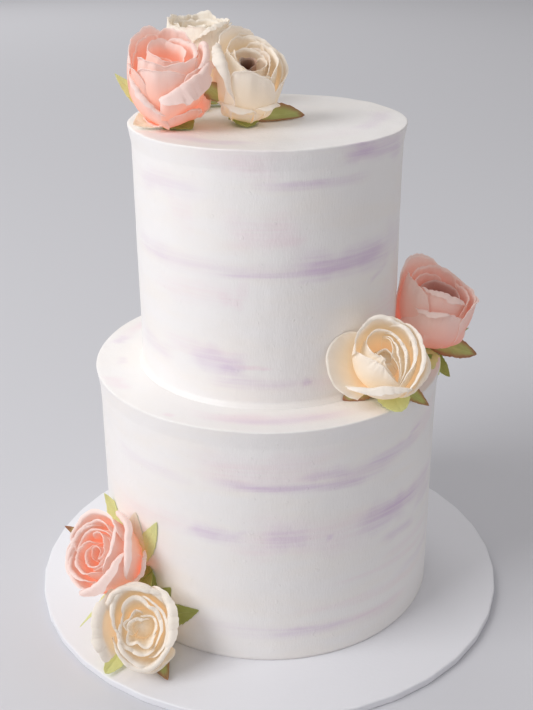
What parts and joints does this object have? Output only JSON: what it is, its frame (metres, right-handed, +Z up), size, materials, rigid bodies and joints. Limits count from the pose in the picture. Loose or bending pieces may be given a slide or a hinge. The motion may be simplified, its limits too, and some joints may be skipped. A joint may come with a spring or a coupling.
{
  "type": "tiered wedding cake",
  "caption": "Tiered round cake in smooth buttercream with pastel brush streaks, on a round wrapped board, dressed with fabric roses and green sepals.",
  "frame": {"origin": "centre of the board's underside, where the cake rests", "axes": "+Z up through the tiers, -Y towards the cake's front, +X to the viewer's right"},
  "size_m": [0.3038, 0.3048, 0.3586],
  "materials": {
    "board_wrap": "white board foil with a soft satin sheen",
    "icing": "smooth white buttercream, satin, with pale lilac and pink strokes",
    "petal_blush": "blush pink cloth petals, peach towards the heart",
    "petal_dusk": "dusty pink cloth petals",
    "petal_cream": "cream cloth petals, warm towards the heart",
    "petal_ivory": "ivory cloth petals",
    "leaf": "green cloth with red-brown edges and pale veins"
  },
  "bodies": {
    "root": {"board": "board_wrap", "lower_tier": "icing", "upper_tier": "icing", "rose_upper_pink": "petal_blush", "rose_upper_cream": "petal_cream", "rose_upper_ivory": "petal_ivory", "rose_ledge_pink": "petal_dusk", "rose_ledge_cream": "petal_cream", "rose_foot_pink": "petal_blush", "rose_foot_cream": "petal_cream", "leaves_upper_pink": "leaf", "leaves_upper_cream": "leaf", "leaves_upper_ivory": "leaf", "leaves_ledge_pink": "leaf", "leaves_ledge_cream": "leaf", "leaves_foot_pink": "leaf", "leaves_foot_cream": "leaf"}
  },
  "joints": []
}
